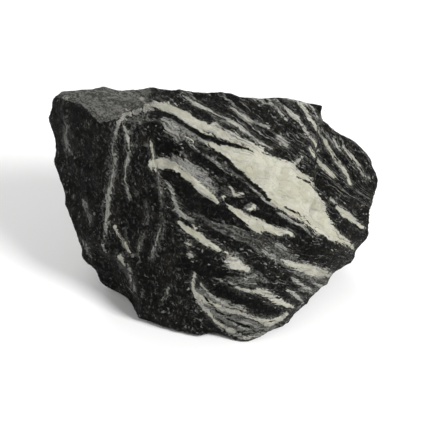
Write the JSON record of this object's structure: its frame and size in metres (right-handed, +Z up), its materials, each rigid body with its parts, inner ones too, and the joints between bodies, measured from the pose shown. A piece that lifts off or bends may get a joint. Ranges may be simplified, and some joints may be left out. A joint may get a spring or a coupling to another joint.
{
  "type": "aquascaping rock",
  "caption": "Angular block of banded black and white stone with broken faces, layer ledges and a small flat spot to rest on, for setting in an aquarium.",
  "frame": {"origin": "on the resting plane, under the middle of the stone's box", "axes": "+X to the right along the stone's longest side as seen from its banded front, +Y to the back, +Z up"},
  "size_m": [0.1631, 0.1117, 0.105],
  "materials": {
    "banded_stone": "dry broken stone, nearly black with cream and grey bands along its layers, matt with small glints"
  },
  "bodies": {
    "root": {"rock": "banded_stone"}
  },
  "joints": []
}
